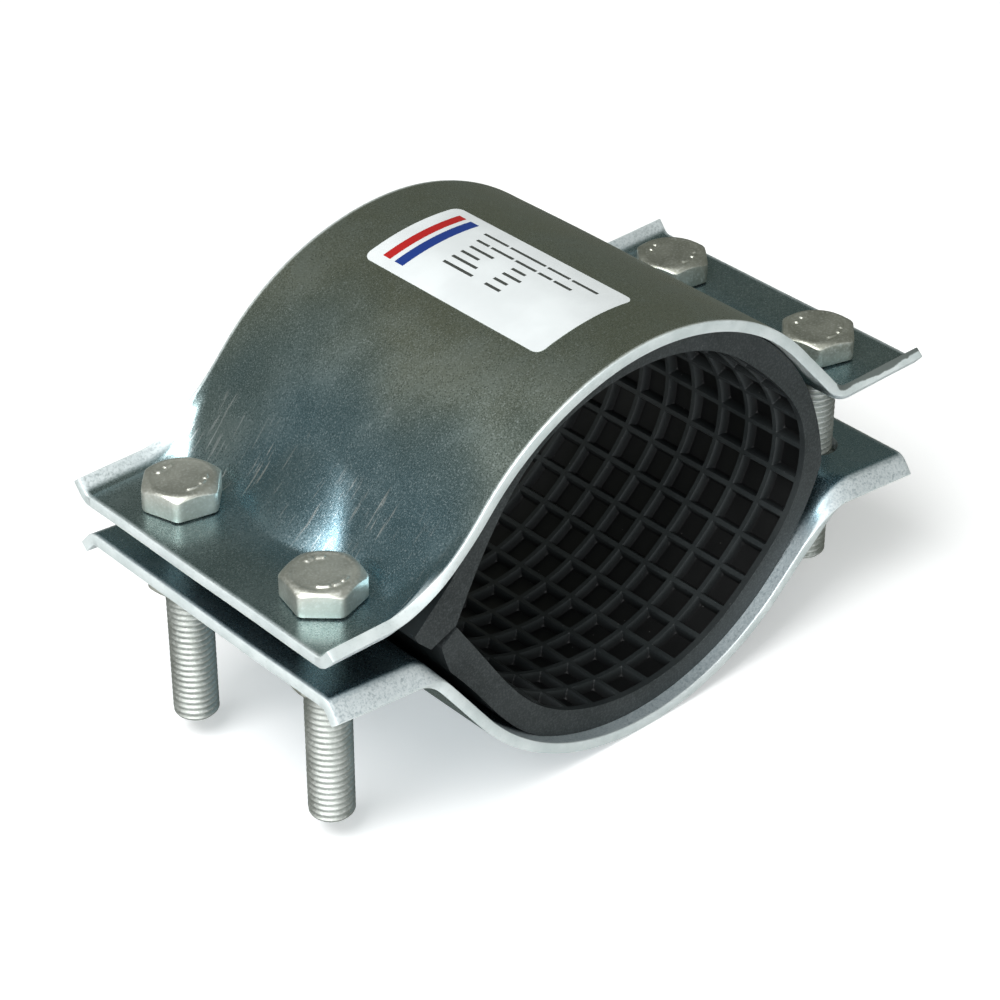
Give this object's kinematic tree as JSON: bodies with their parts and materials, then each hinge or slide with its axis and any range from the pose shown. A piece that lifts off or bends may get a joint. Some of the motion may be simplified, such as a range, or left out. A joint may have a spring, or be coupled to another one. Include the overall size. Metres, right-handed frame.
{
  "type": "two-part pipe repair clamp",
  "caption": "Two pressed steel half shells with lipped bolting ears, bolted round a ribbed rubber liner to seal or join a pipe.",
  "frame": {"origin": "centre of the rubber liner's bore, on the pipe axis, half way along the clamp", "axes": "+Y along the pipe, +Z towards the bolt heads and the upper half, +X across the bolting ears"},
  "size_m": [0.2031, 0.1014, 0.1176],
  "materials": {
    "zinc_sheet": "bright zinc plate, bluish, lightly scuffed",
    "fastener_zinc": "dull hot-dip zinc",
    "rubber": "matt moulded EPDM",
    "label_paper": "coated white sticker"
  },
  "bodies": {
    "lower_half": {"lower_shell": "zinc_sheet", "gasket": "rubber", "nut_front_left": "fastener_zinc", "nut_back_left": "fastener_zinc", "nut_front_right": "fastener_zinc", "nut_back_right": "fastener_zinc"},
    "upper_half": {"upper_shell": "zinc_sheet", "label": "label_paper"},
    "bolt_front_left": {"bolt_front_left": "fastener_zinc"},
    "bolt_back_left": {"bolt_back_left": "fastener_zinc"},
    "bolt_front_right": {"bolt_front_right": "fastener_zinc"},
    "bolt_back_right": {"bolt_back_right": "fastener_zinc"}
  },
  "joints": [
    {"name": "clamp_opening", "type": "slide", "parent": "lower_half", "child": "upper_half", "axis": [0, 0, 1], "range_m": [0, 0.01925]},
    {"name": "bolt_front_left_turn", "type": "hinge", "parent": "upper_half", "child": "bolt_front_left", "pos_m": [-0.08855, -0.0275, 0.0129], "axis": [0, 0, 1], "range_deg": [0, 3961]},
    {"name": "bolt_back_left_turn", "type": "hinge", "parent": "upper_half", "child": "bolt_back_left", "pos_m": [-0.08855, 0.0275, 0.0129], "axis": [0, 0, 1], "range_deg": [0, 3961]},
    {"name": "bolt_front_right_turn", "type": "hinge", "parent": "upper_half", "child": "bolt_front_right", "pos_m": [0.08195, -0.0275, 0.0129], "axis": [0, 0, 1], "range_deg": [0, 3961]},
    {"name": "bolt_back_right_turn", "type": "hinge", "parent": "upper_half", "child": "bolt_back_right", "pos_m": [0.08195, 0.0275, 0.0129], "axis": [0, 0, 1], "range_deg": [0, 3961]}
  ],
  "couplings": [
    {"joint": "bolt_front_left_turn", "follows": "clamp_opening", "rad_per_m": 3590.4},
    {"joint": "bolt_back_left_turn", "follows": "clamp_opening", "rad_per_m": 3590.4},
    {"joint": "bolt_front_right_turn", "follows": "clamp_opening", "rad_per_m": 3590.4},
    {"joint": "bolt_back_right_turn", "follows": "clamp_opening", "rad_per_m": 3590.4}
  ]
}
